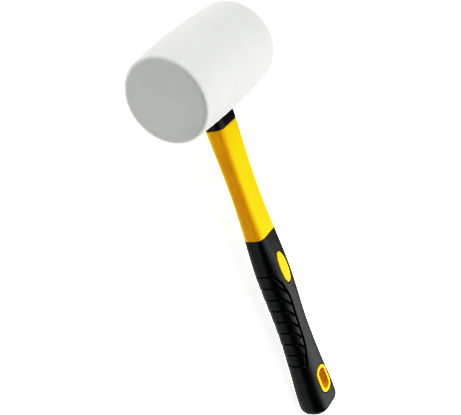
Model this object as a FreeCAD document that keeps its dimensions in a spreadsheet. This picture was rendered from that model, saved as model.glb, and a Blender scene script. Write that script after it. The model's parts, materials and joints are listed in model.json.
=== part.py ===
"""Rubber mallet: white rubber head, yellow jacketed glass-fibre handle, black moulded grip.

The mallet is drawn in its own working axes and then laid on its side:
X runs along the handle, from the head's axis towards the butt,
Y runs along the head's axis, with one striking face at each end,
Z runs through the flat sides of the handle.
Widths are measured along Y and thicknesses along Z.
"""
import FreeCAD, Part
import math
import os
import Sketcher
from FreeCAD import Placement, Rotation, Vector

SIZES = [
    # head
    ("head_diameter", 66.2, "across the middle of the barrel"),
    ("head_end_diameter", 62.4, "across each striking face, before its edge is rounded"),
    ("head_length", 99.2, "from striking face to striking face"),
    ("head_edge_round", 3.1, "radius round each striking face"),
    ("socket_past_axis", 12.0, "how far the blind socket goes beyond the head's axis"),
    # bond and neck sleeve
    ("bond_thickness", 0.3, "adhesive between sleeve and socket"),
    ("bond_bed", 2.0, "adhesive between the handle's end and the socket's end"),
    ("bond_recess", 2.6, "adhesive stops this far inside the barrel's widest line"),
    ("sleeve_width", 25.4, ""),
    ("sleeve_thickness", 16.2, ""),
    ("sleeve_round", 6.3, "corner radius outside"),
    ("sleeve_wall", 1.6, ""),
    ("collar_height", 7.1, "part of the sleeve that shows between head and jacket"),
    # glass-fibre core
    ("core_diameter", 9.0, ""),
    ("core_end_at", 238.0, "distance of the core's lower end from the head's axis"),
    # jacket between the sleeve and the grip
    ("neck_width", 24.2, ""),
    ("neck_thickness", 15.7, ""),
    ("neck_round", 5.2, ""),
    ("shank_at", 97.0, "slimmest section of the jacket"),
    ("shank_width", 22.2, ""),
    ("shank_thickness", 13.7, ""),
    ("shank_round", 4.6, ""),
    ("cuff_at", 128.2, "where the grip starts"),
    ("cuff_width", 23.4, ""),
    ("cuff_thickness", 16.1, ""),
    ("cuff_round", 5.0, ""),
    ("cuff_step", 0.15, "the grip stands this proud of the jacket where it starts"),
    # grip
    ("swell_at", 156.0, "upper swelling, behind the window"),
    ("swell_width", 27.0, ""),
    ("swell_thickness", 22.2, ""),
    ("swell_round", 10.2, ""),
    ("waist_at", 214.0, "slimmest section of the grip"),
    ("waist_width", 25.7, ""),
    ("waist_thickness", 20.6, ""),
    ("waist_round", 9.8, ""),
    ("flare_at", 240.0, ""),
    ("flare_width", 28.0, ""),
    ("flare_thickness", 21.6, ""),
    ("flare_round", 10.2, ""),
    ("butt_at", 270.0, ""),
    ("butt_width", 32.4, ""),
    ("butt_thickness", 23.6, ""),
    ("butt_round", 11.0, ""),
    ("butt_end_at", 281.8, "distance of the butt's end from the head's axis"),
    ("butt_end_round", 6.2, "radius round the butt's end"),
    ("grip_wall", 2.6, "grip over the jacket's tang"),
    ("butt_wall", 6.0, "grip over the tang's end"),
    # ribbed panel
    ("rib_first_at", 157.5, "first groove"),
    ("rib_pitch", 9.81, ""),
    ("rib_count", 8, "ribs between the grooves"),
    ("groove_width", 1.3, ""),
    ("groove_depth", 1.0, ""),
    ("groove_bend", 8.5, "radius of each groove where it turns onto the side"),
    ("panel_edge", 5.1, "distance of the panel's edge from the handle's middle plane"),
    ("panel_upper_arc_at", 181.0, "where the edge starts to turn forward, upper end"),
    ("panel_upper_arc", 40.0, "radius there"),
    ("panel_lower_arc_at", 210.0, "where the edge starts to turn forward, lower end"),
    ("panel_lower_arc", 50.0, "radius there"),
    # windows and hanging eyelet
    ("window_at", 156.4, ""),
    ("window_length", 25.6, ""),
    ("window_width", 10.6, ""),
    ("eyelet_at", 255.9, ""),
    ("eyelet_length", 22.4, ""),
    ("eyelet_width", 14.6, ""),
    ("eyelet_round", 6.6, ""),
    ("eyelet_rim", 3.2, "width of the rim round the slot"),
    ("eyelet_proud", 0.45, "height of the rim above the grip"),
]

# drawing allowance: cutters and prisms reach this far past the handle's middle planes
REACH = 20.0

# angles at which the butt's rounding has a section
ROUNDING_STEPS = (0, 30, 60, 90)

# an edge's middle counts as lying in a plane when it is this near to it
PLANE_TOLERANCE = 0.01

doc = FreeCAD.newDocument("RubberMallet")


def make_sheet():
    """Spreadsheet with one named cell for each driving size."""
    table = doc.addObject("Spreadsheet::Sheet", "Sizes")
    for row, (name, value, note) in enumerate(SIZES, start=1):
        table.set(f"A{row}", name)
        table.set(f"B{row}", str(value))
        table.set(f"C{row}", note)
        table.setAlias(f"B{row}", name)
    doc.recompute()
    return table


sheet = make_sheet()
probe = doc.addObject("App::FeaturePython", "Probe")


def size(name):
    """Present value of a named cell."""
    return float(sheet.get(name))


def cell(name):
    """Reference to a named cell, for use in an expression."""
    return f"Sizes.{name}"


def value_of(expression):
    """Number that an expression of cells gives now, to place new geometry near its final shape."""
    return float(probe.evalExpression(expression))


def plane(body, role):
    """One of the body's own origin planes or axes."""
    for feature in body.Origin.OriginFeatures:
        if feature.Role == role:
            return feature
    raise ValueError(role)


def new_body(name):
    """PartDesign body; solids that don't touch may share it."""
    body = doc.addObject("PartDesign::Body", name)
    body.AllowCompound = True
    return body


def sketch_on(body, role, name, offset="0"):
    """Sketch on an origin plane of the body, moved along the plane's normal by an expression."""
    sketch = body.newObject("Sketcher::SketchObject", name)
    sketch.AttachmentSupport = [(plane(body, role), "")]
    sketch.MapMode = "FlatFace"
    sketch.setExpression("AttachmentOffset.Base.z", offset)
    return sketch


def dimension(sketch, constraint, expression):
    """Add a dimension and bind it to an expression of cells."""
    index = sketch.addConstraint(constraint)
    sketch.setExpression(f"Constraints[{index}]", expression)


def rounded_rectangle(sketch, width, height, radius, centre="0"):
    """Rounded rectangle with its centre at a given distance along the sketch's first axis."""
    w, h, r, c = (value_of(e) for e in (width, height, radius, centre))
    x, y = w / 2, h / 2
    corners = [(x - r, y - r, 0), (-x + r, y - r, 90), (-x + r, -y + r, 180), (x - r, -y + r, 270)]
    arcs = []
    for px, py, start in corners:
        circle = Part.Circle(Vector(c + px, py, 0), Vector(0, 0, 1), r)
        arc = Part.ArcOfCircle(circle, math.radians(start), math.radians(start + 90))
        arcs.append(sketch.addGeometry(arc, False))
    ends = [
        ((x - r, y), (-x + r, y)),
        ((-x, y - r), (-x, -y + r)),
        ((-x + r, -y), (x - r, -y)),
        ((x, -y + r), (x, y - r)),
    ]
    lines = []
    for (ax, ay), (bx, by) in ends:
        line = Part.LineSegment(Vector(c + ax, ay, 0), Vector(c + bx, by, 0))
        lines.append(sketch.addGeometry(line, False))
    for i in range(4):
        sketch.addConstraint(Sketcher.Constraint("Tangent", arcs[i], 2, lines[i], 1))
        sketch.addConstraint(Sketcher.Constraint("Tangent", lines[i], 2, arcs[(i + 1) % 4], 1))
    for i in (0, 2):
        sketch.addConstraint(Sketcher.Constraint("Horizontal", lines[i]))
    for i in (1, 3):
        sketch.addConstraint(Sketcher.Constraint("Vertical", lines[i]))
    for i in (1, 2, 3):
        sketch.addConstraint(Sketcher.Constraint("Equal", arcs[0], arcs[i]))
    dimension(sketch, Sketcher.Constraint("Radius", arcs[0], r), radius)
    dimension(sketch, Sketcher.Constraint("DistanceX", lines[1], 1, lines[3], 1, w), width)
    dimension(sketch, Sketcher.Constraint("DistanceY", lines[2], 1, lines[0], 1, h), height)
    side = f"{centre} + ({width}) / 2"
    dimension(sketch, Sketcher.Constraint("DistanceX", -1, 1, lines[3], 1, c + x), side)
    dimension(sketch, Sketcher.Constraint("DistanceY", -1, 1, lines[0], 1, y), f"({height}) / 2")


def pad(body, sketch, name, length, midplane=False):
    feature = body.newObject("PartDesign::Pad", name)
    feature.Profile = sketch
    feature.Midplane = midplane
    feature.setExpression("Length", length)
    return feature


def pocket(body, sketch, name, length):
    """Pocket that cuts towards +X when its sketch lies on the YZ plane."""
    feature = body.newObject("PartDesign::Pocket", name)
    feature.Profile = sketch
    feature.Reversed = True
    feature.setExpression("Length", length)
    return feature


def section_sketch(body, name, section, offset):
    """Cross-section of the handle: at, width, thickness and corner radius, grown by an offset."""
    at, width, thickness, radius = section
    sketch = sketch_on(body, "YZ_Plane", name, at)
    rounded_rectangle(
        sketch, f"{width} + 2 * ({offset})", f"{thickness} + 2 * ({offset})", f"{radius} + ({offset})"
    )
    return sketch


def handle_loft(body, name, sections, offset="0"):
    """Smooth loft through cross-sections of the handle, all grown by the same offset."""
    sketches = [
        section_sketch(body, f"{name}_section_{i}", section, offset)
        for i, section in enumerate(sections, start=1)
    ]
    loft = body.newObject("PartDesign::AdditiveLoft", name)
    loft.Profile = sketches[0]
    loft.Sections = sketches[1:]
    return loft


def boolean(kind, name, base, tool):
    feature = doc.addObject(kind, name)
    feature.Base = base
    feature.Tool = tool
    return feature


# ---------------------------------------------------------------- shared places and sections

COLLAR_END = f"({cell('head_diameter')} / 2 + {cell('collar_height')})"
TANG_TOP = f"(-{cell('socket_past_axis')} + {cell('bond_bed')})"
TENON_LENGTH = f"({COLLAR_END} - {TANG_TOP})"


def station(name):
    return tuple(cell(f"{name}_{part}") for part in ("at", "width", "thickness", "round"))


JACKET_SECTIONS = [
    (COLLAR_END, cell("neck_width"), cell("neck_thickness"), cell("neck_round")),
    station("shank"),
    station("cuff"),
]

GRIP_START = (
    cell("cuff_at"),
    f"({cell('cuff_width')} + 2 * {cell('cuff_step')})",
    f"({cell('cuff_thickness')} + 2 * {cell('cuff_step')})",
    f"({cell('cuff_round')} + {cell('cuff_step')})",
)


BUTT_EDGE = f"({cell('butt_end_at')} - {cell('butt_end_round')})"


def grip_sections(end):
    """Grip from the cuff to an end plane; the last stretch is straight."""
    butt = station("butt")
    return [GRIP_START, station("swell"), station("waist"), station("flare"), butt, (end,) + butt[1:]]


# ---------------------------------------------------------------- head

def make_head():
    """Barrel-shaped rubber head with a blind socket for the handle, from one side."""
    body = new_body("head")
    sketch = sketch_on(body, "XY_Plane", "head_profile")
    half = size("head_length") / 2
    end = size("head_end_diameter") / 2
    middle = size("head_diameter") / 2
    rise = middle - end
    curve = (half ** 2 + rise ** 2) / (2 * rise)
    sweep = math.asin(half / curve)
    circle = Part.Circle(Vector(middle - curve, 0, 0), Vector(0, 0, 1), curve)
    side = sketch.addGeometry(Part.ArcOfCircle(circle, -sweep, sweep), False)
    upper = sketch.addGeometry(Part.LineSegment(Vector(end, half, 0), Vector(0, half, 0)), False)
    axis = sketch.addGeometry(Part.LineSegment(Vector(0, half, 0), Vector(0, -half, 0)), False)
    lower = sketch.addGeometry(Part.LineSegment(Vector(0, -half, 0), Vector(end, -half, 0)), False)
    ring = [(side, 2, upper, 1), (upper, 2, axis, 1), (axis, 2, lower, 1), (lower, 2, side, 1)]
    for joint in ring:
        sketch.addConstraint(Sketcher.Constraint("Coincident", *joint))
    sketch.addConstraint(Sketcher.Constraint("Horizontal", upper))
    sketch.addConstraint(Sketcher.Constraint("Horizontal", lower))
    sketch.addConstraint(Sketcher.Constraint("Symmetric", axis, 1, axis, 2, -1, 1))
    sketch.addConstraint(Sketcher.Constraint("PointOnObject", side, 3, -1))
    dimension(sketch, Sketcher.Constraint("DistanceY", -1, 1, axis, 1, half), f"{cell('head_length')} / 2")
    dimension(
        sketch, Sketcher.Constraint("DistanceX", -1, 1, upper, 1, end), f"{cell('head_end_diameter')} / 2"
    )
    bulge = f"(({cell('head_diameter')} - {cell('head_end_diameter')}) / 2)"
    dimension(
        sketch,
        Sketcher.Constraint("Radius", side, curve),
        f"(({cell('head_length')} / 2) ^ 2 + {bulge} ^ 2) / (2 * {bulge})",
    )
    turned = body.newObject("PartDesign::Revolution", "head_barrel")
    turned.Profile = sketch
    turned.ReferenceAxis = (sketch, ["V_Axis"])
    turned.Angle = 360
    doc.recompute()

    rims = [
        f"Edge{i}"
        for i, edge in enumerate(turned.Shape.Edges, start=1)
        if abs(abs(edge.CenterOfMass.y) - half) < PLANE_TOLERANCE and edge.Length > math.pi * end
    ]
    rounded = body.newObject("PartDesign::Fillet", "head_edges")
    rounded.Base = (turned, rims)
    rounded.setExpression("Radius", cell("head_edge_round"))
    doc.recompute()

    mouth = sketch_on(body, "YZ_Plane", "socket_outline", f"-{cell('socket_past_axis')}")
    grow = f"2 * {cell('bond_thickness')}"
    rounded_rectangle(
        mouth,
        f"{cell('sleeve_width')} + {grow}",
        f"{cell('sleeve_thickness')} + {grow}",
        f"{cell('sleeve_round')} + {cell('bond_thickness')}",
    )
    pocket(body, mouth, "socket", f"{cell('socket_past_axis')} + {cell('head_diameter')} / 2 + {REACH}")
    return body


# ---------------------------------------------------------------- bond layer and neck sleeve

def make_bond_layer():
    """Cup of cured adhesive that fills the gap between the socket and the sleeved handle end."""
    body = new_body("bond_layer")
    outline = sketch_on(body, "YZ_Plane", "bond_outline", f"-{cell('socket_past_axis')}")
    grow = f"2 * {cell('bond_thickness')}"
    rounded_rectangle(
        outline,
        f"{cell('sleeve_width')} + {grow}",
        f"{cell('sleeve_thickness')} + {grow}",
        f"{cell('sleeve_round')} + {cell('bond_thickness')}",
    )
    depth = f"{cell('socket_past_axis')} + {cell('head_diameter')} / 2 - {cell('bond_recess')}"
    pad(body, outline, "bond_block", depth)
    inside = sketch_on(body, "YZ_Plane", "bond_inside", TANG_TOP)
    rounded_rectangle(inside, cell("sleeve_width"), cell("sleeve_thickness"), cell("sleeve_round"))
    pocket(body, inside, "bond_cavity", depth)
    return body


def tenon_outline(sketch):
    """Handle end inside the sleeve: the sleeve's section less its wall."""
    rounded_rectangle(
        sketch,
        f"{cell('sleeve_width')} - 2 * {cell('sleeve_wall')}",
        f"{cell('sleeve_thickness')} - 2 * {cell('sleeve_wall')}",
        f"{cell('sleeve_round')} - {cell('sleeve_wall')}",
    )


def make_neck_sleeve():
    """Black sleeve over the handle's end; its lower end shows as a collar under the head."""
    body = new_body("neck_sleeve")
    outline = sketch_on(body, "YZ_Plane", "sleeve_outline", TANG_TOP)
    rounded_rectangle(outline, cell("sleeve_width"), cell("sleeve_thickness"), cell("sleeve_round"))
    pad(body, outline, "sleeve_block", TENON_LENGTH)
    inside = sketch_on(body, "YZ_Plane", "sleeve_inside", TANG_TOP)
    tenon_outline(inside)
    pocket(body, inside, "sleeve_bore", TENON_LENGTH)
    return body


# ---------------------------------------------------------------- core

def core_body(name):
    """Round glass-fibre rod from the handle's upper end to above the hanging slot."""
    body = new_body(name)
    sketch = sketch_on(body, "YZ_Plane", f"{name}_circle", TANG_TOP)
    radius = size("core_diameter") / 2
    circle = sketch.addGeometry(Part.Circle(Vector(0, 0, 0), Vector(0, 0, 1), radius), False)
    sketch.addConstraint(Sketcher.Constraint("Coincident", circle, 3, -1, 1))
    dimension(sketch, Sketcher.Constraint("Radius", circle, radius), f"{cell('core_diameter')} / 2")
    pad(body, sketch, f"{name}_rod", f"{cell('core_end_at')} - {TANG_TOP}")
    return body


# ---------------------------------------------------------------- grip forms

def make_grip_blank():
    """Outside of the grip as a solid; sections that follow a quarter circle round off the butt."""
    body = new_body("grip_blank")
    handle_loft(body, "grip_outside", grip_sections(BUTT_EDGE))
    _, width, thickness, radius = station("butt")
    turn = cell("butt_end_round")
    sketches = []
    for i, degrees in enumerate(ROUNDING_STEPS, start=1):
        at = f"({cell('butt_end_at')} - {turn} * (1 - sin({degrees} deg)))"
        inset = f"-{turn} * (1 - cos({degrees} deg))"
        sketches.append(section_sketch(body, f"butt_section_{i}", (at, width, thickness, radius), inset))
    cap = body.newObject("PartDesign::AdditiveLoft", "butt_rounding")
    cap.Profile = sketches[0]
    cap.Sections = sketches[1:]
    return body


def panel_prism(name, inset):
    """Outline of the ribbed panel in side view, moved inwards by an inset, through the handle."""
    body = new_body(name)
    sketch = sketch_on(body, "XY_Plane", f"{name}_outline")
    first = cell("rib_first_at")
    last = f"({first} + {cell('rib_count')} * {cell('rib_pitch')})"
    half = f"{cell('groove_width')} / 2"
    top = f"({first} - {half} + {inset})"
    bottom = f"({last} + {half} - ({inset}))"
    edge = f"({cell('panel_edge')} + {inset})"
    upper = f"({cell('panel_upper_arc')} - ({inset}))"
    lower = f"({cell('panel_lower_arc')} - ({inset}))"
    x0, x1, e, ru, rl = (value_of(item) for item in (top, bottom, edge, upper, lower))
    xu, xl, far = size("panel_upper_arc_at"), size("panel_lower_arc_at"), REACH
    drop_u = ru - math.sqrt(ru ** 2 - (xu - x0) ** 2)
    drop_l = rl - math.sqrt(rl ** 2 - (x1 - xl) ** 2)
    turn_u = math.asin((xu - x0) / ru)
    turn_l = math.asin((x1 - xl) / rl)
    quarter = math.pi / 2
    z = Vector(0, 0, 1)
    front = sketch.addGeometry(Part.LineSegment(Vector(x0, -far, 0), Vector(x1, -far, 0)), False)
    lower_end = sketch.addGeometry(
        Part.LineSegment(Vector(x1, -far, 0), Vector(x1, -e - drop_l, 0)), False
    )
    lower_arc = sketch.addGeometry(
        Part.ArcOfCircle(Part.Circle(Vector(xl, -e - rl, 0), z, rl), quarter - turn_l, quarter), False
    )
    side = sketch.addGeometry(Part.LineSegment(Vector(xl, -e, 0), Vector(xu, -e, 0)), False)
    upper_arc = sketch.addGeometry(
        Part.ArcOfCircle(Part.Circle(Vector(xu, -e - ru, 0), z, ru), quarter, quarter + turn_u), False
    )
    upper_end = sketch.addGeometry(
        Part.LineSegment(Vector(x0, -e - drop_u, 0), Vector(x0, -far, 0)), False
    )
    for a, ap, b, bp in [
        (front, 2, lower_end, 1),
        (lower_end, 2, lower_arc, 1),
        (upper_arc, 2, upper_end, 1),
        (upper_end, 2, front, 1),
    ]:
        sketch.addConstraint(Sketcher.Constraint("Coincident", a, ap, b, bp))
    sketch.addConstraint(Sketcher.Constraint("Tangent", lower_arc, 2, side, 1))
    sketch.addConstraint(Sketcher.Constraint("Tangent", side, 2, upper_arc, 1))
    for line in (front, side):
        sketch.addConstraint(Sketcher.Constraint("Horizontal", line))
    for line in (lower_end, upper_end):
        sketch.addConstraint(Sketcher.Constraint("Vertical", line))
    dimension(sketch, Sketcher.Constraint("Radius", upper_arc, ru), upper)
    dimension(sketch, Sketcher.Constraint("Radius", lower_arc, rl), lower)
    dimension(sketch, Sketcher.Constraint("DistanceX", -1, 1, front, 1, x0), top)
    dimension(sketch, Sketcher.Constraint("DistanceX", -1, 1, front, 2, x1), bottom)
    dimension(sketch, Sketcher.Constraint("DistanceX", -1, 1, side, 2, xu), cell("panel_upper_arc_at"))
    dimension(sketch, Sketcher.Constraint("DistanceX", -1, 1, side, 1, xl), cell("panel_lower_arc_at"))
    dimension(sketch, Sketcher.Constraint("DistanceY", side, 1, -1, 1, e), edge)
    sketch.addConstraint(Sketcher.Constraint("DistanceY", front, 1, -1, 1, far))
    pad(body, sketch, f"{name}_prism", f"2 * {REACH}", midplane=True)
    return body


def make_groove_bands():
    """One groove between two ribs, bent round onto the side, repeated along the panel."""
    body = new_body("groove_bands")
    sketch = sketch_on(body, "XY_Plane", "groove_outline")
    bend, half, edge = size("groove_bend"), size("groove_width") / 2, size("panel_edge")
    x = size("rib_first_at") + size("rib_pitch")
    hub = Vector(x + bend, -edge - bend, 0)
    z = Vector(0, 0, 1)
    quarter = math.pi / 2
    outer = sketch.addGeometry(
        Part.ArcOfCircle(Part.Circle(hub, z, bend + half), quarter, 2 * quarter), False
    )
    inner = sketch.addGeometry(
        Part.ArcOfCircle(Part.Circle(hub, z, bend - half), quarter, 2 * quarter), False
    )
    tip = sketch.addGeometry(
        Part.LineSegment(hub + Vector(0, bend + half, 0), hub + Vector(0, bend - half, 0)), False
    )
    near = sketch.addGeometry(
        Part.LineSegment(Vector(x - half, hub.y, 0), Vector(x - half, -REACH, 0)), False
    )
    front = sketch.addGeometry(
        Part.LineSegment(Vector(x - half, -REACH, 0), Vector(x + half, -REACH, 0)), False
    )
    back = sketch.addGeometry(
        Part.LineSegment(Vector(x + half, -REACH, 0), Vector(x + half, hub.y, 0)), False
    )
    for a, ap, b, bp in [
        (outer, 1, tip, 1),
        (tip, 2, inner, 1),
        (near, 2, front, 1),
        (front, 2, back, 1),
        (outer, 3, inner, 3),
    ]:
        sketch.addConstraint(Sketcher.Constraint("Coincident", a, ap, b, bp))
    sketch.addConstraint(Sketcher.Constraint("Tangent", outer, 2, near, 1))
    sketch.addConstraint(Sketcher.Constraint("Tangent", inner, 2, back, 2))
    sketch.addConstraint(Sketcher.Constraint("Vertical", tip))
    sketch.addConstraint(Sketcher.Constraint("Vertical", near))
    sketch.addConstraint(Sketcher.Constraint("Horizontal", front))
    sketch.addConstraint(Sketcher.Constraint("DistanceY", front, 1, -1, 1, REACH))
    width = cell("groove_width")
    turn = cell("groove_bend")
    dimension(sketch, Sketcher.Constraint("Radius", outer, bend + half), f"{turn} + {width} / 2")
    dimension(sketch, Sketcher.Constraint("Radius", inner, bend - half), f"{turn} - {width} / 2")
    dimension(
        sketch,
        Sketcher.Constraint("DistanceX", -1, 1, near, 1, x - half),
        f"{cell('rib_first_at')} + {cell('rib_pitch')} - {width} / 2",
    )
    dimension(
        sketch,
        Sketcher.Constraint("DistanceY", outer, 3, -1, 1, edge + bend),
        f"{cell('panel_edge')} + {cell('groove_bend')}",
    )
    first = pad(body, sketch, "groove_band", f"2 * {REACH}", midplane=True)
    row = body.newObject("PartDesign::LinearPattern", "groove_row")
    row.Originals = [first]
    row.Direction = (plane(body, "X_Axis"), [""])
    row.Mode = "Spacing"
    row.setExpression("Offset", cell("rib_pitch"))
    row.setExpression("Occurrences", f"{cell('rib_count')} - 1")
    body.Tip = row
    return body


def make_grooves(blank):
    """Grooves of the ribbed panel: bands and border, kept to one depth under the grip's surface."""
    floor = new_body("groove_floor")
    handle_loft(floor, "groove_floor_loft", grip_sections(BUTT_EDGE), f"-{cell('groove_depth')}")
    skin = boolean("Part::Cut", "groove_skin", blank, floor)
    panel = panel_prism("rib_panel", "0")
    inner = panel_prism("rib_panel_inner", cell("groove_width"))
    border = boolean("Part::Cut", "panel_border", panel, inner)
    bands = boolean("Part::Common", "panel_bands", make_groove_bands(), panel)
    pattern = boolean("Part::Fuse", "groove_pattern", border, bands)
    return boolean("Part::Common", "grooves", skin, pattern)


# ---------------------------------------------------------------- jacket

def make_jacket_forms(blank):
    """Jacket as a solid: tenon, visible neck, tang under the grip, window pads and eyelet boss."""
    body = new_body("jacket_stem")
    tenon = sketch_on(body, "YZ_Plane", "tenon_section", TANG_TOP)
    tenon_outline(tenon)
    pad(body, tenon, "tenon", TENON_LENGTH)
    handle_loft(body, "jacket_outside", JACKET_SECTIONS)
    tang_end = f"({cell('butt_end_at')} - {cell('butt_wall')})"
    handle_loft(body, "tang", grip_sections(tang_end), f"-{cell('grip_wall')}")

    window = new_body("window_prism")
    outline = sketch_on(window, "XY_Plane", "window_outline")
    long, short, at = size("window_length") / 2, size("window_width") / 2, size("window_at")
    ellipse = outline.addGeometry(Part.Ellipse(Vector(at, 0, 0), long, short), False)
    outline.exposeInternalGeometry(ellipse)
    major, minor = ellipse + 1, ellipse + 2
    outline.addConstraint(Sketcher.Constraint("PointOnObject", ellipse, 3, -1))
    outline.addConstraint(Sketcher.Constraint("Horizontal", major))
    dimension(outline, Sketcher.Constraint("DistanceX", -1, 1, ellipse, 3, at), cell("window_at"))
    dimension(outline, Sketcher.Constraint("Distance", major, 2 * long), cell("window_length"))
    dimension(outline, Sketcher.Constraint("Distance", minor, 2 * short), cell("window_width"))
    pad(window, outline, "window_pad", f"2 * {REACH}", midplane=True)
    pads = boolean("Part::Common", "window_pads", window, blank)

    boss = new_body("eyelet_prism")
    shape = sketch_on(boss, "XY_Plane", "eyelet_outline")
    rounded_rectangle(
        shape, cell("eyelet_length"), cell("eyelet_width"), cell("eyelet_round"), cell("eyelet_at")
    )
    pad(boss, shape, "eyelet_block", f"2 * {REACH}", midplane=True)
    form = new_body("eyelet_form")
    handle_loft(form, "eyelet_loft", grip_sections(BUTT_EDGE), cell("eyelet_proud"))
    eyelet = boolean("Part::Common", "eyelet_boss", boss, form)

    whole = doc.addObject("Part::MultiFuse", "jacket_solid")
    whole.Shapes = [body, pads, eyelet]
    return whole


def make_slot():
    """Cutter for the slot through the eyelet."""
    body = new_body("slot_prism")
    sketch = sketch_on(body, "XY_Plane", "slot_outline")
    rounded_rectangle(
        sketch,
        f"{cell('eyelet_length')} - 2 * {cell('eyelet_rim')}",
        f"{cell('eyelet_width')} - 2 * {cell('eyelet_rim')}",
        f"{cell('eyelet_round')} - {cell('eyelet_rim')}",
        cell("eyelet_at"),
    )
    pad(body, sketch, "slot_block", f"2 * {REACH}", midplane=True)
    return body


# ---------------------------------------------------------------- assembly

def lay_on_side(pieces):
    """Lower the butt until it and the head's barrel touch the floor, and centre the mallet over it."""
    radius = size("head_diameter") / 2
    along = size("butt_end_at") - size("butt_end_round")
    under = size("butt_thickness") / 2
    angle = math.asin(radius / math.hypot(along, under)) - math.atan2(under, along)
    turn = Rotation(Vector(0, 1, 0), math.degrees(angle))
    far_end = max(turn.multVec(vertex.Point).x for piece in pieces for vertex in piece.Shape.Vertexes)
    shift = Vector((radius - far_end) / 2, 0, radius)
    for piece in pieces:
        piece.Placement = Placement(shift, turn)
    print(f"laid down by {math.degrees(angle):.4f} degrees, moved by {shift.x:.3f} mm along X")


def check_and_export(pieces):
    """Refuse a failed feature or an invalid shape, then write one STEP file for each piece."""
    for item in doc.Objects:
        if {"Invalid", "Error"} & set(item.State):
            raise RuntimeError(f"{item.Name}: {item.State}")
    for piece in pieces:
        shape = piece.Shape
        if shape.isNull() or not shape.isValid() or not shape.Solids:
            raise RuntimeError(f"{piece.Label}: bad shape")
    os.makedirs("parts", exist_ok=True)
    for piece in pieces:
        piece.Shape.exportStep(f"parts/{piece.Label}.step")
        box = piece.Shape.BoundBox
        print(
            f"{piece.Label}: {len(piece.Shape.Solids)} solid, {piece.Shape.Volume / 1000:.2f} cm3,",
            f"X {box.XMin:.1f} {box.XMax:.1f}",
            f"Y {box.YMin:.1f} {box.YMax:.1f}",
            f"Z {box.ZMin:.2f} {box.ZMax:.1f}",
        )


def main():
    head = make_head()
    bond_layer = make_bond_layer()
    neck_sleeve = make_neck_sleeve()
    core_rod = core_body("core_rod")
    blank = make_grip_blank()
    doc.recompute()
    jacket_solid = make_jacket_forms(blank)
    openings = boolean("Part::Fuse", "jacket_openings", core_body("core_bore"), make_slot())
    jacket = boolean("Part::Cut", "jacket", jacket_solid, openings)
    ribbed = boolean("Part::Cut", "grip_ribbed", blank, make_grooves(blank))
    grip = boolean("Part::Cut", "grip", ribbed, jacket_solid)
    doc.recompute()
    pieces = [head, bond_layer, neck_sleeve, core_rod, jacket, grip]
    lay_on_side(pieces)
    doc.recompute()
    check_and_export(pieces)


main()
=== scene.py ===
"""Looks for the rubber mallet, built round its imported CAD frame.

Shapes are worked out in the mallet's own axes, in millimetres, and then placed in the row frame:
X runs along the handle from the head's axis towards the butt,
Y runs along the head's axis, with the ribbed edge of the grip on its negative side,
Z runs through the two flat sides of the handle.
"""

import json
import math

import bmesh
import bpy
import numpy as np
from mathutils import Matrix, Quaternion, Vector


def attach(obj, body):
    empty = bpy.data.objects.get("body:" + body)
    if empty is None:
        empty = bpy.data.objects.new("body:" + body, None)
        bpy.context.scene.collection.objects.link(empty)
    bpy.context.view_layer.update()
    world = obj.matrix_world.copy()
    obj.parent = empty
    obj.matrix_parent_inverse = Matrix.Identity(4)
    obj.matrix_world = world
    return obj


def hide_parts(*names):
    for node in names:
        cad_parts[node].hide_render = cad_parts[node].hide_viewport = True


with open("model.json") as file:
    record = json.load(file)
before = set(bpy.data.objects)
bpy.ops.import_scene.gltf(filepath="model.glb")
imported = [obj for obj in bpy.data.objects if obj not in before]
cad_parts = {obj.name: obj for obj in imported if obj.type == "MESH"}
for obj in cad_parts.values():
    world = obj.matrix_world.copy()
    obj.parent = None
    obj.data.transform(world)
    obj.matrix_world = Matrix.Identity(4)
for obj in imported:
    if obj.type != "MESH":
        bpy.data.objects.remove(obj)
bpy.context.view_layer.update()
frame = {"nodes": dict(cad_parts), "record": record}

# ---------------------------------------------------------------- places from the frame

MM = 0.001
MOUNTS = {mount["name"]: mount for mount in frame["record"]["mounts"]}


def working_axes():
    """Matrix from the mallet's working axes, in millimetres, to the row frame, in metres."""
    ribbed = Vector(MOUNTS["striking_face_ribbed_side"]["pos_m"])
    plain = Vector(MOUNTS["striking_face_plain_side"]["pos_m"])
    across = (plain - ribbed).normalized()
    flat = Vector(MOUNTS["hanging_slot"]["axis"]).normalized()
    turn = Matrix((across.cross(flat), across, flat)).transposed().to_4x4()
    return Matrix.Translation((ribbed + plain) / 2) @ turn @ Matrix.Scale(MM, 4)


TO_ROW = working_axes()


def working_box(node):
    """Lowest and highest corner of a CAD node in the working axes."""
    points = np.array([vertex.co for vertex in frame["nodes"][node].data.vertices])
    turn = np.array(TO_ROW.inverted())
    points = points @ turn[:3, :3].T + turn[:3, 3]
    return points.min(axis=0), points.max(axis=0)


_, head_high = working_box("head")
sleeve_low, sleeve_high = working_box("neck_sleeve")
grip_low, grip_high = working_box("grip")
_, core_high = working_box("core_rod")

HEAD_RADIUS = float(head_high[2])
HEAD_HALF = float(head_high[1])
SLEEVE_START = float(sleeve_low[0])
SLEEVE_HALF_WIDTH = float(sleeve_high[1])
SLEEVE_HALF_THICKNESS = float(sleeve_high[2])
COLLAR_END = float(sleeve_high[0])
CORE_RADIUS = float(core_high[1])
CORE_END = float(core_high[0])
GRIP_START = float(grip_low[0])
BUTT_END = float(grip_high[0])
BUTT_HALF_WIDTH = float(grip_high[1])
BUTT_HALF_THICKNESS = float(grip_high[2])
EYELET_AT = float((TO_ROW.inverted() @ Vector(MOUNTS["hanging_slot"]["pos_m"]))[0])

# ---------------------------------------------------------------- sizes in millimetres

# head
HEAD_END_RADIUS = 31.2
HEAD_EDGE_ROUND = 3.1
FACE_CROWN = 0.25
SOCKET_LIP = 0.35
SOCKET_GAP = 0.3
SOCKET_BOTTOM = SLEEVE_START - 2
SOCKET_CUTTER_CLEARS = 3

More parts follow.
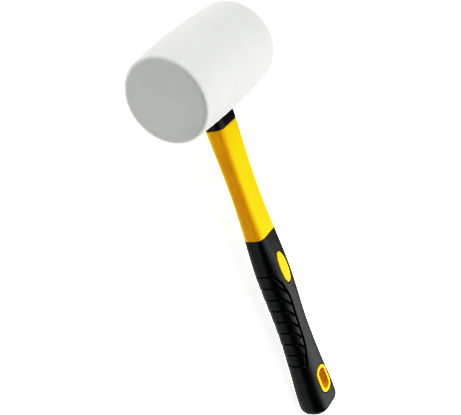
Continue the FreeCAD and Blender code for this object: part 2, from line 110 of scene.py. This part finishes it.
# neck sleeve
SLEEVE_ROUND = 6.3
SLEEVE_WALL = 1.6
SLEEVE_LIP = 0.7

# handle sections: distance from the head's axis, half width, half thickness, corner radius
JACKET_SECTIONS = [
    (COLLAR_END, 12.1, 7.85, 5.2),
    (97.0, 11.1, 6.85, 4.6),
    (GRIP_START, 11.7, 8.05, 5.0),
]
BUTT_EDGE_ROUND = 6.2
BUTT_CROWN = 0.3
GRIP_SECTIONS = [
    (GRIP_START, 11.85, 8.2, 5.15),
    (156.0, 13.5, 11.1, 10.2),
    (214.0, 12.85, 10.3, 9.8),
    (240.0, 14.0, 10.8, 10.2),
    (270.0, BUTT_HALF_WIDTH, BUTT_HALF_THICKNESS, 11.0),
    (BUTT_END, BUTT_HALF_WIDTH, BUTT_HALF_THICKNESS, 11.0),
]
GRIP_WALL = 2.6
GRIP_LIP = 0.35
TANG_END = BUTT_END - 6.0
JACKET_SHOULDER = 0.3
JACKET_CLEARANCE = 0.02

# ribbed panel on the grip
FIRST_GROOVE = 157.5
RIB_PITCH = 9.81
RIBS = 8
LAST_GROOVE = FIRST_GROOVE + RIBS * RIB_PITCH
GROOVE_DEPTH = 1.1
GROOVE_HALF = 0.95
RIB_SHOULDER = 0.12
SHOULDER_REACH = 1.6
RIB_TILT = 0.3
# the panel's border on each flat side: distance from the head's axis, distance from the middle plane
PANEL_BORDER = [
    (155.0, 12.7),
    (157.6, 12.0),
    (159.0, 11.2),
    (161.7, 9.9),
    (165.7, 8.4),
    (171.5, 6.8),
    (176.0, 5.75),
    (181.0, 5.15),
    (190.6, 5.1),
    (205.0, 5.2),
    (212.7, 5.35),
    (218.0, 5.8),
    (223.1, 6.8),
    (227.5, 7.9),
    (231.0, 8.8),
    (236.0, 10.3),
    (240.0, 11.8),
]
# grooves sweep towards the butt on the flat sides: share of the sweep by place along the handle
SWEEP_SHARE = [(134.0, 0.0), (157.5, 1.0), (237.0, 1.0), (260.0, 0.0)]
SWEEP_STARTS = 12.7
SWEEP_ENDS = 4.4
SWEEP_SIZE = 0.54
SWEEP_POWER = 1.41
SWEEP_PASSES = 8

# windows and hanging eyelet
WINDOW_AT = 156.4
WINDOW_HALF = (12.75, 5.25)
WINDOW_POWER = 2.2
WINDOW_ROUND = 0.7
WINDOW_PROUD = 0.2
WINDOW_FOOT = 2.0
EYELET_HALF = (11.2, 7.3)
EYELET_CORNER = 6.6
EYELET_ROUND = 0.5
EYELET_PROUD = 0.45
SLOT_HALF = (8.0, 4.1)
SLOT_CORNER = 3.4
SLOT_LIP = 1.0
SEAM_GAP = 0.15
SEAM_LIP = 0.8
CUTTER_CLEARS = 1.5

# ---------------------------------------------------------------- curves and sections


def smooth_through(table, x):
    """Values of a smooth curve through a table's points, one column of the table at a time."""
    table = np.asarray(table, float)
    at = table[:, 0]
    x = np.asarray(x, float)
    place = np.clip(np.searchsorted(at, x, side="right") - 1, 0, len(at) - 2)
    step = np.diff(at)
    share = np.clip((x - at[place]) / step[place], 0, 1)
    columns = []
    for values in table[:, 1:].T:
        slope = np.diff(values) / step
        tangent = np.empty_like(values)
        tangent[0], tangent[-1] = slope[0], slope[-1]
        tangent[1:-1] = (slope[:-1] * step[1:] + slope[1:] * step[:-1]) / (step[1:] + step[:-1])
        a, b = values[place], values[place + 1]
        ta, tb = tangent[place] * step[place], tangent[place + 1] * step[place]
        s2, s3 = share ** 2, share ** 3
        columns.append(
            a * (2 * s3 - 3 * s2 + 1) + ta * (s3 - 2 * s2 + share) + b * (3 * s2 - 2 * s3) + tb * (s3 - s2)
        )
    return columns


def smooth_step(x):
    """Rise from 0 to 1 with level ends."""
    x = np.clip(x, 0, 1)
    return x * x * (3 - 2 * x)


def quarter_point(along, half_width, half_thickness, radius):
    """Point on a quarter of a rounded rectangle, from the middle of the flat side to the middle of the edge.

    Gives the distances from both middle planes and the outward direction's two parts."""
    flat = half_width - radius
    angle = np.clip((along - flat) / radius, 0, math.pi / 2)
    past = np.maximum(along - flat - radius * math.pi / 2, 0)
    y = np.minimum(along, flat) + radius * np.sin(angle)
    z = half_thickness - radius + radius * np.cos(angle) - past
    return y, z, np.sin(angle), np.cos(angle)


def quarter_length(half_width, half_thickness, radius):
    return half_width - radius + radius * math.pi / 2 + half_thickness - radius


# signs of a ring's four quarters, in the order that whole_ring lays them
ACROSS = (-1, 1, 1, -1)
UPWARDS = (1, 1, -1, -1)


def whole_ring(front, back, signs=(1, 1, 1, 1)):
    """Columns of a whole ring from its front and back quarters, each from flat middle to edge middle."""
    quarters = (front[:, :0:-1], back[:, :-1], back[:, :0:-1], front[:, :-1])
    return np.concatenate([sign * quarter for sign, quarter in zip(signs, quarters)], axis=1)


# where the columns of a plain quarter lie
QUARTER = np.linspace(0, 1, 41)


def plain_ring(x, half_width, half_thickness, radius, share=QUARTER):
    """Rounded-rectangle ring at one place along the handle."""
    along = quarter_length(half_width, half_thickness, radius) * share[None, :]
    y, z, _, _ = quarter_point(along, half_width, half_thickness, radius)
    y, z = whole_ring(y, y, ACROSS), whole_ring(z, z, UPWARDS)
    return np.stack([np.full(y.shape, float(x)), y, z], axis=-1)[0]


def grip_height(x, y):
    """Distance of the grip's flat side from the handle's middle plane."""
    half_width, half_thickness, radius = smooth_through(GRIP_SECTIONS, x)
    past = np.clip(np.abs(y) - (half_width - radius), 0, radius * 0.999)
    return half_thickness - radius + np.sqrt(radius ** 2 - past ** 2)


# ---------------------------------------------------------------- meshes


def grid_mesh(name, rings, closed=True):
    """Skin through rings of points, (rows, columns, 3), with each end closed by a fan to its middle.

    If the ends aren't closed, the last ring joins the first."""
    rows, columns, _ = rings.shape
    points = [tuple(point) for point in rings.reshape(-1, 3)]
    faces = []
    last = rows - 1 if closed else rows
    for i in range(last):
        below = (i + 1) % rows
        for j in range(columns):
            k = (j + 1) % columns
            faces.append((i * columns + j, i * columns + k, below * columns + k, below * columns + j))
    if closed:
        for row, order in ((0, 1), (rows - 1, -1)):
            centre = len(points)
            points.append(tuple(rings[row].mean(axis=0)))
            for j in range(columns):
                pair = (row * columns + (j + 1) % columns, row * columns + j)
                faces.append((centre,) + pair[::order])
    mesh = bpy.data.meshes.new(name)
    mesh.from_pydata(points, [], faces)
    shape = bmesh.new()
    shape.from_mesh(mesh)
    bmesh.ops.recalc_face_normals(shape, faces=shape.faces)
    shape.to_mesh(mesh)
    shape.free()
    piece = bpy.data.objects.new(name, mesh)
    bpy.context.scene.collection.objects.link(piece)
    return piece


def combine(base, operation, other):
    """Boolean of two closed forms; the other one is used up."""
    modifier = base.modifiers.new("combine", "BOOLEAN")
    modifier.operation = operation
    modifier.solver = "MANIFOLD"
    modifier.object = other
    bpy.context.view_layer.update()
    made = bpy.data.meshes.new_from_object(base.evaluated_get(bpy.context.evaluated_depsgraph_get()))
    base.modifiers.remove(modifier)
    base.data = made
    bpy.data.objects.remove(other)


SHARP_DEGREES = 34


def place(piece, material, slot, node):
    """Move a finished form into the row frame, as the piece that stands for a CAD node."""
    piece.data.transform(TO_ROW)
    piece.data.name = piece.name
    piece.data.materials.clear()
    piece.data.materials.append(material)
    for polygon in piece.data.polygons:
        polygon.use_smooth = True
    piece.data.set_sharp_from_angle(angle=math.radians(SHARP_DEGREES))
    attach(piece, "root")
    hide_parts(node)


OUTLINE_POINTS = 144


def outline_loop(centre, half, grow, power=None, corner=None):
    """Loop in the X-Y plane round a point: a superellipse, or a rounded rectangle if a corner is given."""
    if corner is None:
        turn = np.linspace(0, 2 * math.pi, OUTLINE_POINTS, endpoint=False)
        c, s = np.cos(turn), np.sin(turn)
        x = half[0] * np.sign(c) * np.abs(c) ** (2 / power)
        y = half[1] * np.sign(s) * np.abs(s) ** (2 / power)
        ahead = np.stack([np.roll(x, -1) - np.roll(x, 1), np.roll(y, -1) - np.roll(y, 1)])
        ahead /= np.linalg.norm(ahead, axis=0)
        return np.stack([centre + x + grow * ahead[1], y - grow * ahead[0]], axis=-1)
    ring = plain_ring(0, half[0] + grow, half[1] + grow, corner + grow,
                      np.linspace(0, 1, OUTLINE_POINTS // 4 + 1))
    return ring[:, 1:] + (centre, 0)


def window_outline(grow):
    return outline_loop(WINDOW_AT, WINDOW_HALF, grow, power=WINDOW_POWER)


def eyelet_outline(grow):
    return outline_loop(EYELET_AT, EYELET_HALF, grow, corner=EYELET_CORNER)


def slot_outline(grow):
    return outline_loop(EYELET_AT, SLOT_HALF, grow, corner=SLOT_CORNER)


def lying_loop(loop, lift):
    """A loop raised to the grip's flat side, plus a lift."""
    return np.concatenate([loop, (grip_height(loop[:, 0], loop[:, 1]) + lift)[:, None]], axis=1)


def button_top(outline, proud, rounding, centre):
    """Rows of a raised button's top, from just below its rounded edge to its middle."""
    rows = []
    for angle in np.linspace(0, math.pi / 2, 7):
        loop = outline(-rounding * (1 - math.cos(angle)))
        rows.append(lying_loop(loop, proud - rounding * (1 - math.sin(angle))))
    inner = outline(-rounding)
    for share in (0.85, 0.65, 0.4, 0.15):
        loop = inner * share + np.array([centre, 0]) * (1 - share)
        rows.append(lying_loop(loop, proud))
    return np.array(rows)


def mirrored(rows):
    """The same rows on the other flat side, in reverse order."""
    return rows[::-1] * np.array([1, 1, -1])


LIP_DEGREES = (0, 20, 40, 55, 70)
LIP_FLARE = 1.4
LIP_RISE = 0.6


def lip_steps(lip, clear):
    """Growth and lift of each row of a cutter's mouth: a rounded lip, a flare, and on out of the surface."""
    steps = []
    for angle in map(math.radians, LIP_DEGREES):
        steps.append((lip * (1 - math.cos(angle)), -lip * (1 - math.sin(angle))))
    return steps + [(lip * LIP_FLARE, lip * LIP_RISE), (lip * LIP_FLARE, lip * LIP_RISE + clear)]


def flared_cutter(name, outline, gap, lip, proud=0.0):
    """Cutter through both flat sides that leaves a rounded lip round the hole it cuts."""
    steps = lip_steps(lip, CUTTER_CLEARS)
    top = np.array([lying_loop(outline(gap + grow), proud + lift) for grow, lift in steps])
    return grid_mesh(name, np.concatenate([mirrored(top), top]))


# ---------------------------------------------------------------- head


def barrel_radius(y):
    """Radius of the barrel, which is an arc along the head's axis."""
    rise = HEAD_RADIUS - HEAD_END_RADIUS
    curve = (HEAD_HALF ** 2 + rise ** 2) / (2 * rise)
    return HEAD_RADIUS - curve + np.sqrt(curve ** 2 - y ** 2)


def make_head(material):
    """Barrel of white rubber with rounded striking faces and a socket with a soft lip."""
    edge = HEAD_HALF - HEAD_EDGE_ROUND
    side = [(y, float(barrel_radius(y))) for y in np.linspace(-edge, edge, 91)]
    face_radius = float(barrel_radius(edge)) - HEAD_EDGE_ROUND
    end = []
    for angle in np.linspace(0, math.pi / 2, 13)[1:]:
        y = edge + HEAD_EDGE_ROUND * math.sin(angle)
        end.append((y, face_radius + HEAD_EDGE_ROUND * math.cos(angle)))
    for share in np.linspace(0, 1, 22)[1:-1]:
        end.append((HEAD_HALF, face_radius * (1 - share)))
    crowned = []
    for y, radius in end:
        drop = FACE_CROWN * (radius / face_radius) ** 2 * smooth_step((y - edge) / HEAD_EDGE_ROUND)
        crowned.append((y - drop, radius))
    profile = [(-y, radius) for y, radius in crowned[::-1]] + side + crowned
    turns = np.linspace(0, 2 * math.pi, 240, endpoint=False)
    rings = np.array([[(r * math.cos(t), y, r * math.sin(t)) for t in turns] for y, r in profile])
    head = grid_mesh("rubber_head", rings)

    def socket_ring(grow):
        grow += SOCKET_GAP
        return plain_ring(SOCKET_BOTTOM, SLEEVE_HALF_WIDTH + grow, SLEEVE_HALF_THICKNESS + grow,
                          SLEEVE_ROUND + grow, np.linspace(0, 1, 40))

    rows = [socket_ring(0)]
    for grow, lift in lip_steps(SOCKET_LIP, SOCKET_CUTTER_CLEARS):
        ring = socket_ring(grow)
        ring[:, 0] = np.sqrt(barrel_radius(ring[:, 1]) ** 2 - ring[:, 2] ** 2) + lift
        rows.append(ring)
    combine(head, "DIFFERENCE", grid_mesh("socket_cutter", np.array(rows)))
    place(head, material, "head_rubber", "head")


# ---------------------------------------------------------------- neck sleeve


def sleeve_ring(x, inset):
    """Ring of the neck sleeve at one place, moved inwards."""
    return plain_ring(x, SLEEVE_HALF_WIDTH - inset, SLEEVE_HALF_THICKNESS - inset, SLEEVE_ROUND - inset)


def make_sleeve(material):
    """Black sleeve whose lower end shows as a collar; the outer edge of that end is rounded."""
    rows = [sleeve_ring(x, 0) for x in np.linspace(SLEEVE_START, COLLAR_END - SLEEVE_LIP, 24)]
    for angle in np.linspace(0, math.pi / 2, 8)[1:]:
        rows.append(sleeve_ring(
            COLLAR_END - SLEEVE_LIP * (1 - math.sin(angle)), SLEEVE_LIP * (1 - math.cos(angle))))
    rows += [sleeve_ring(x, SLEEVE_WALL) for x in np.linspace(COLLAR_END, SLEEVE_START, 12)]
    sleeve = grid_mesh("neck_collar_sleeve", np.array(rows), closed=False)
    place(sleeve, material, "neck_rubber", "neck_sleeve")


# ---------------------------------------------------------------- grip


def sweep(distance):
    """How far a groove has swept towards the butt, at a distance from the middle plane on the flat side."""
    past = SWEEP_STARTS - np.clip(distance, SWEEP_ENDS, SWEEP_STARTS)
    return SWEEP_SIZE * past ** SWEEP_POWER


def sweep_slope(distance):
    past = SWEEP_STARTS - np.clip(distance, SWEEP_ENDS, SWEEP_STARTS)
    return SWEEP_SIZE * SWEEP_POWER * past ** (SWEEP_POWER - 1)


def sweep_share(place_along):
    table = np.array(SWEEP_SHARE)
    return np.interp(place_along, table[:, 0], table[:, 1])


def border_distance(x):
    return smooth_through(PANEL_BORDER, np.clip(x, PANEL_BORDER[0][0], PANEL_BORDER[-1][0]))[0]


def border_along(x, half_width, radius):
    """Place of the panel's border on the quarter ring, measured along the surface."""
    distance = border_distance(x)
    flat = half_width - radius
    past = np.clip((distance - flat) / radius, 0, 0.98)
    return np.minimum(distance, flat) + radius * np.arcsin(past)


def grip_columns(x):
    """Grip section at places x, then the length of its quarter ring and the panel border's place on it."""
    half_width, half_thickness, radius = smooth_through(GRIP_SECTIONS, x)
    total = quarter_length(half_width, half_thickness, radius)
    border = border_along(x, half_width, radius)
    return half_width, half_thickness, radius, total, border


FRONT_INNER = np.linspace(0, 1, 15)[:-1]
FRONT_GROOVE = np.linspace(-1, 1, 13)
FRONT_OUTER = np.linspace(0, 1, 31)[1:]
FRONT_SPLITS = (len(FRONT_INNER), len(FRONT_INNER) + len(FRONT_GROOVE))
FRONT_COLUMNS = np.arange(FRONT_SPLITS[1] + len(FRONT_OUTER))[None, :]
BACK_COLUMNS = np.linspace(0, 1, 41)[None, :]
GROOVE_BAND = GROOVE_HALF + 0.25
STATION_BAND = GROOVE_HALF + 0.15


def front_along(border, total):
    """Place along the front quarter of each column: three stretches, the middle one on the border groove."""
    first, second = FRONT_SPLITS
    inner = (border - GROOVE_BAND) * FRONT_INNER[np.clip(FRONT_COLUMNS, 0, first - 1)]
    groove = border + GROOVE_BAND * FRONT_GROOVE[np.clip(FRONT_COLUMNS - first, 0, second - first - 1)]
    start = border + GROOVE_BAND
    outer = start + (total - start) * FRONT_OUTER[np.clip(FRONT_COLUMNS - second, 0, None)]
    return np.where(FRONT_COLUMNS < first, inner, np.where(FRONT_COLUMNS < second, groove, outer))


def raised_cosine(distance, half):
    return 0.5 * (1 + np.cos(math.pi * np.clip(np.abs(distance) / half, 0, 1)))


PANEL_EDGE_FADE = 0.5
PANEL_END_FADE = 1.5
PANEL_END_REACH = 1.0
RIB_END_FADE = 1 / 40
TILT_CLEARS_GROOVE = 1.5


def panel_depth(x, distance):
    """Depth of the ribbed panel's grooves and rib shoulders below the plain surface."""
    slope = border_distance(x + 0.5) - border_distance(x - 0.5)
    to_border = (distance - border_distance(x)) / np.sqrt(1 + slope ** 2)
    inside = smooth_step(to_border / PANEL_EDGE_FADE + 0.5)
    upper_end = smooth_step((x - FIRST_GROOVE) / PANEL_END_FADE + 0.5)
    lower_end = smooth_step((LAST_GROOVE + PANEL_END_REACH - x) / PANEL_END_FADE + 0.5)
    depth = GROOVE_DEPTH * raised_cosine(to_border, GROOVE_HALF) * upper_end * lower_end
    nearest = np.full(x.shape, np.inf)
    share = np.zeros(x.shape)
    for k in range(RIBS + 1):
        groove = FIRST_GROOVE + k * RIB_PITCH
        line = groove + sweep_share(groove) * sweep(distance)
        lean = sweep_share(groove) * sweep_slope(distance)
        away = (x - line) / np.sqrt(1 + lean ** 2)
        depth = np.maximum(depth, GROOVE_DEPTH * raised_cosine(away, GROOVE_HALF) * inside)
        nearest = np.minimum(nearest, np.abs(away))
        share = np.where(away > 0, k + (x - line) / RIB_PITCH, share)
    on_ribs = inside * smooth_step(share / RIB_END_FADE) * smooth_step((RIBS - share) / RIB_END_FADE)
    shoulder = np.clip(1 - np.minimum(nearest, np.abs(to_border)) / SHOULDER_REACH, 0, 1) ** 2
    tilt = (1 - share % 1) * (1 - raised_cosine(nearest, TILT_CLEARS_GROOVE))
    return depth + on_ribs * (RIB_SHOULDER * shoulder + RIB_TILT * tilt)


def grip_stations():
    """Places of the grip's rows before the sweep: closer together at the grooves."""
    across = np.linspace(-1, 1, 11) * STATION_BAND
    stops = list(np.linspace(GRIP_START + GRIP_LIP, FIRST_GROOVE + across[0], 46)[:-1])
    for k in range(RIBS + 1):
        groove = FIRST_GROOVE + k * RIB_PITCH
        stops += list(groove + across)
        if k < RIBS:
            stops += list(np.linspace(groove + across[-1], groove + RIB_PITCH + across[0], 16)[1:-1])
    stops += list(np.linspace(LAST_GROOVE + across[-1], BUTT_END - BUTT_EDGE_ROUND, 60)[1:])
    return np.array(stops)


def grip_outside():
    """Rows of the grip's outside, from its upper lip to the middle of the butt."""
    stations = grip_stations()[:, None]
    front_x = np.repeat(stations, FRONT_COLUMNS.size, axis=1)
    for _ in range(SWEEP_PASSES):
        *section, total, border = grip_columns(front_x)
        y, z, ny, nz = quarter_point(front_along(border, total), *section)
        front_x = stations + sweep_share(stations) * sweep(y)
    depth = panel_depth(front_x, y)
    back_x = np.repeat(stations + sweep_share(stations) * sweep(0.0), BACK_COLUMNS.size, axis=1)
    *section, total, _ = grip_columns(back_x)
    back_y, back_z, _, _ = quarter_point(total * BACK_COLUMNS, *section)
    return np.stack([
        whole_ring(front_x, back_x),
        whole_ring(y - depth * ny, back_y, ACROSS),
        whole_ring(z - depth * nz, back_z, UPWARDS),
    ], axis=-1)


def offset_ring(x, inset):
    """Ring of the grip's columns at one place, moved inwards."""
    *section, total, border = grip_columns(np.full((1, 1), float(x)))
    quarters = []
    for along in (front_along(border, total), total * BACK_COLUMNS):
        y, z, ny, nz = quarter_point(along, *section)
        quarters.append((y - inset * ny, z - inset * nz))
    (front_y, front_z), (back_y, back_z) = quarters
    y, z = whole_ring(front_y, back_y, ACROSS), whole_ring(front_z, back_z, UPWARDS)
    return np.stack([np.full(y.shape, float(x)), y, z], axis=-1)[0]


def make_grip(material):
    """Black soft grip: ribbed panel, rounded butt, hollow for the tang, openings for the jacket's forms."""
    rows = [offset_ring(x, GRIP_WALL) for x in np.linspace(TANG_END, GRIP_START, 40)]
    for angle in np.linspace(0, math.pi / 2, 6)[:-1]:
        x = GRIP_START + GRIP_LIP * (1 - math.cos(angle))
        rows.append(offset_ring(x, GRIP_LIP * (1 - math.sin(angle))))
    rows += list(grip_outside())
    edge = BUTT_END - BUTT_EDGE_ROUND
    for angle in np.linspace(0, math.pi / 2, 15)[1:]:
        inset = BUTT_EDGE_ROUND * (1 - math.cos(angle))
        ring = offset_ring(edge, inset)
        ring[:, 0] = edge + (BUTT_EDGE_ROUND - BUTT_CROWN) * math.sin(angle)
        rows.append(ring)
    last = rows[-1]
    middle = last.mean(axis=0)
    for share in (0.85, 0.65, 0.45, 0.25, 0.08):
        ring = middle + (last - middle) * share
        ring[:, 0] = last[0, 0] + BUTT_CROWN * (1 - share ** 2)
        rows.append(ring)
    grip = grid_mesh("soft_grip", np.array(rows))
    for name, outline in (("window_cutter", window_outline), ("eyelet_cutter", eyelet_outline)):
        combine(grip, "DIFFERENCE", flared_cutter(name, outline, SEAM_GAP, SEAM_LIP))
    place(grip, material, "grip_rubber", "grip")


# ---------------------------------------------------------------- jacket


def make_jacket(material):
    """Yellow jacket: tenon, neck and tang in one, with the two windows, the eyelet and the core's bore."""
    rows = []

    def add_row(x, section, inset=0.0):
        rows.append(plain_ring(x, *(float(value) - inset for value in section)))

    bore = CORE_RADIUS + JACKET_CLEARANCE
    for x in np.linspace(CORE_END + JACKET_CLEARANCE, SLEEVE_START, 30):
        add_row(x, (bore, bore, bore - 0.01))
    tenon = (SLEEVE_HALF_WIDTH, SLEEVE_HALF_THICKNESS, SLEEVE_ROUND)
    for x in np.linspace(SLEEVE_START, COLLAR_END, 14):
        add_row(x, tenon, SLEEVE_WALL + JACKET_CLEARANCE)
    for angle in np.linspace(0, math.pi / 2, 5):
        x = COLLAR_END + JACKET_SHOULDER * (1 - math.cos(angle))
        add_row(x, smooth_through(JACKET_SECTIONS, x), JACKET_SHOULDER * (1 - math.sin(angle)))
    for x in np.linspace(COLLAR_END + JACKET_SHOULDER, GRIP_START, 110)[1:]:
        add_row(x, smooth_through(JACKET_SECTIONS, x))
    for x in np.linspace(GRIP_START + JACKET_CLEARANCE, TANG_END - JACKET_CLEARANCE, 60):
        add_row(x, smooth_through(GRIP_SECTIONS, x), GRIP_WALL + JACKET_CLEARANCE)
    jacket = grid_mesh("moulded_jacket", np.array(rows))

    loop = window_outline(0)
    foot = np.concatenate([loop, np.full((len(loop), 1), CORE_RADIUS + WINDOW_FOOT)], axis=1)
    window = np.concatenate([foot[None], button_top(window_outline, WINDOW_PROUD, WINDOW_ROUND, WINDOW_AT)])
    eyelet = button_top(eyelet_outline, EYELET_PROUD, EYELET_ROUND, EYELET_AT)
    combine(jacket, "UNION", grid_mesh("window_upper", window))
    combine(jacket, "UNION", grid_mesh("window_lower", mirrored(window)))
    combine(jacket, "UNION", grid_mesh("eyelet", np.concatenate([mirrored(eyelet), eyelet])))
    combine(jacket, "DIFFERENCE", flared_cutter("slot_cutter", slot_outline, 0.0, SLOT_LIP, EYELET_PROUD))
    place(jacket, material, "jacket_plastic", "jacket")


# ---------------------------------------------------------------- materials


class Material:
    """Principled material with a small set of procedural layers in object space, in metres."""

    def __init__(self, name, color, roughness, **sockets):
        self.material = bpy.data.materials.new(name)
        self.material.use_nodes = True
        self.tree = self.material.node_tree
        self.shader = self.tree.nodes["Principled BSDF"]
        self.shader.inputs["Base Color"].default_value = (*color, 1)
        self.shader.inputs["Roughness"].default_value = roughness
        for socket, value in sockets.items():
            self.shader.inputs[socket.replace("_", " ")].default_value = value
        self.color = color
        self.places = self.tree.nodes.new("ShaderNodeTexCoord").outputs["Object"]
        self.normal = None

    def noise(self, size_mm, detail=3.0, stretch=None):
        """Noise whose features are about one size across."""
        node = self.tree.nodes.new("ShaderNodeTexNoise")
        node.inputs["Scale"].default_value = 1 / (size_mm * MM)
        node.inputs["Detail"].default_value = detail
        source = self.places
        if stretch:
            mapping = self.tree.nodes.new("ShaderNodeMapping")
            mapping.inputs["Scale"].default_value = stretch
            self.tree.links.new(source, mapping.inputs["Vector"])
            source = mapping.outputs["Vector"]
        self.tree.links.new(source, node.inputs["Vector"])
        return node.outputs["Fac"]

    def ranged(self, source, low, high):
        """A noise's usual span of values, spread from low to high."""
        node = self.tree.nodes.new("ShaderNodeMapRange")
        node.inputs["From Min"].default_value = 0.3
        node.inputs["From Max"].default_value = 0.7
        node.inputs["To Min"].default_value = low
        node.inputs["To Max"].default_value = high
        self.tree.links.new(source, node.inputs["Value"])
        return node.outputs["Result"]

    def bump(self, source, height_mm):
        node = self.tree.nodes.new("ShaderNodeBump")
        node.inputs["Distance"].default_value = height_mm * MM
        self.tree.links.new(source, node.inputs["Height"])
        if self.normal:
            self.tree.links.new(self.normal, node.inputs["Normal"])
        self.normal = node.outputs["Normal"]
        self.tree.links.new(self.normal, self.shader.inputs["Normal"])

    def vary_color(self, source, other):
        """Blend the base colour towards another by a noise."""
        node = self.tree.nodes.new("ShaderNodeMix")
        node.data_type = "RGBA"
        node.inputs["A"].default_value = (*self.color, 1)
        node.inputs["B"].default_value = (*other, 1)
        self.tree.links.new(self.ranged(source, 0, 1), node.inputs["Factor"])
        self.tree.links.new(node.outputs["Result"], self.shader.inputs["Base Color"])

    def vary_roughness(self, source, low, high):
        self.tree.links.new(self.ranged(source, low, high), self.shader.inputs["Roughness"])


def white_rubber():
    rubber = Material("white_rubber", (0.875, 0.885, 0.875), 0.55)
    clouds = rubber.noise(22, detail=4)
    rubber.vary_color(clouds, (0.85, 0.86, 0.84))
    rubber.vary_roughness(rubber.noise(6), 0.48, 0.62)
    rubber.bump(rubber.noise(3.5, detail=2), 0.05)
    rubber.bump(rubber.noise(0.5, detail=2), 0.012)
    return rubber.material


def black_rubber(name, grain):
    rubber = Material(name, (0.006, 0.008, 0.009), 0.42, Specular_IOR_Level=0.75)
    rubber.vary_color(rubber.noise(9, detail=4), (0.010, 0.012, 0.013))
    rubber.vary_roughness(rubber.noise(4), 0.39, 0.46)
    rubber.bump(rubber.noise(grain, detail=2), 0.02)
    return rubber.material


def yellow_plastic():
    plastic = Material("yellow_plastic", (0.92, 0.70, 0.02), 0.42, Specular_IOR_Level=0.3)
    plastic.vary_color(plastic.noise(18), (0.90, 0.67, 0.016))
    plastic.vary_roughness(plastic.noise(5), 0.37, 0.46)
    plastic.bump(plastic.noise(2.5, detail=2), 0.012)
    plastic.bump(plastic.noise(0.35, detail=1), 0.004)
    return plastic.material


def cured_epoxy():
    epoxy = Material("cured_epoxy", (0.62, 0.46, 0.2), 0.25)
    epoxy.vary_color(epoxy.noise(5), (0.55, 0.4, 0.16))
    epoxy.bump(epoxy.noise(1.2), 0.05)
    return epoxy.material


def glass_fibre():
    """Pultruded rod: fine streaks along the handle."""
    fibre = Material("glass_fibre", (0.66, 0.62, 0.42), 0.35)
    streaks = fibre.noise(0.5, stretch=(0.02, 1, 1))
    fibre.vary_color(streaks, (0.78, 0.76, 0.6))
    fibre.bump(streaks, 0.03)
    return fibre.material


# ---------------------------------------------------------------- camera, lights and floor

CAMERA_AIM = (86.16, -36.86, 11.26)
CAMERA_DISTANCE = 751.9
CAMERA_AZIMUTH = -24.91
CAMERA_ELEVATION = 35.53
CAMERA_ROLL = 81.37
CAMERA_LENS = 87.27


def direction(azimuth, elevation):
    """Unit vector from the object outwards; azimuth 0 is along -Y."""
    a, e = math.radians(azimuth), math.radians(elevation)
    return Vector((math.sin(a) * math.cos(e), -math.cos(a) * math.cos(e), math.sin(e)))


def add_camera():
    data = bpy.data.cameras.new("camera")
    data.lens = CAMERA_LENS
    data.clip_start, data.clip_end = 0.05, 20
    camera = bpy.data.objects.new("camera", data)
    bpy.context.scene.collection.objects.link(camera)
    back = direction(CAMERA_AZIMUTH, CAMERA_ELEVATION)
    camera.location = TO_ROW @ Vector(CAMERA_AIM) + back * CAMERA_DISTANCE * MM
    level = (-back).to_track_quat("-Z", "Y")
    camera.rotation_mode = "QUATERNION"
    camera.rotation_quaternion = level @ Quaternion((0, 0, 1), math.radians(CAMERA_ROLL))
    bpy.context.scene.camera = camera


def add_softbox(name, azimuth, elevation, distance, size, power, aim):
    """Square light in a direction from the point it is aimed at; power in watts, the rest in metres."""
    data = bpy.data.lights.new(name, "AREA")
    data.shape = "SQUARE"
    data.size = size
    data.energy = power
    light = bpy.data.objects.new(name, data)
    bpy.context.scene.collection.objects.link(light)
    outwards = direction(azimuth, elevation)
    light.location = Vector(aim) + outwards * distance
    light.rotation_mode = "QUATERNION"
    light.rotation_quaternion = (-outwards).to_track_quat("-Z", "Y")


FLOOR_SIZE = 6
FLOOR_DROP = 0.0002
FLOOR_GLOW = 0.87
WORLD_STRENGTH = 0.06


def add_floor():
    """Pale floor that glows a little, so that it fades to white with a faint shadow."""
    bpy.ops.mesh.primitive_plane_add(size=FLOOR_SIZE, location=(0, 0, -FLOOR_DROP))
    floor = bpy.context.object
    floor.name = "floor"
    surface = Material("pale_floor", (0.25, 0.25, 0.25), 0.9, Specular_IOR_Level=0.0)
    surface.shader.inputs["Emission Color"].default_value = (1, 1, 1, 1)
    surface.shader.inputs["Emission Strength"].default_value = FLOOR_GLOW
    floor.data.materials.append(surface.material)


def add_world():
    world = bpy.data.worlds.new("studio")
    bpy.context.scene.world = world
    world.use_nodes = True
    world.node_tree.nodes["Background"].inputs["Color"].default_value = (1, 1, 1, 1)
    world.node_tree.nodes["Background"].inputs["Strength"].default_value = WORLD_STRENGTH


# points of the tone curve: scene brightness, shown brightness
TONE_CURVE = (
    (0.06, 0.008),
    (0.15, 0.05),
    (0.3, 0.12),
    (0.45, 0.185),
    (0.55, 0.37),
    (0.62, 0.52),
    (0.7, 0.71),
    (0.81, 0.84),
    (0.9, 0.925),
)


def set_tone():
    """Plain display transform with a little more contrast, as in a studio product picture."""
    settings = bpy.context.scene.view_settings
    settings.view_transform = "Standard"
    settings.look = "None"
    settings.exposure = 0
    settings.use_curve_mapping = True
    curve = settings.curve_mapping.curves[3]  # the one for all three colours
    for x, y in TONE_CURVE:
        curve.points.new(x, y)
    settings.curve_mapping.update()


# ---------------------------------------------------------------- build

set_tone()
add_world()
add_floor()
add_camera()
add_softbox("top", 30, 70, 1.0, 0.7, 3.4, (0.0, 0.0, 0.02))
add_softbox("fill", -97.6, 48, 1.1, 0.7, 7.3, (-0.124, 0.0, 0.03))
add_softbox("sheen", 132, 47, 0.4, 0.46, 1.9, (0.13, 0.0, 0.027))

make_head(white_rubber())
make_sleeve(black_rubber("black_neck_rubber", 0.5))
make_jacket(yellow_plastic())
make_grip(black_rubber("black_grip_rubber", 0.4))
for node, material in (("bond_layer", cured_epoxy()), ("core_rod", glass_fibre())):
    mesh = frame["nodes"][node].data
    mesh.materials.clear()
    mesh.materials.append(material)
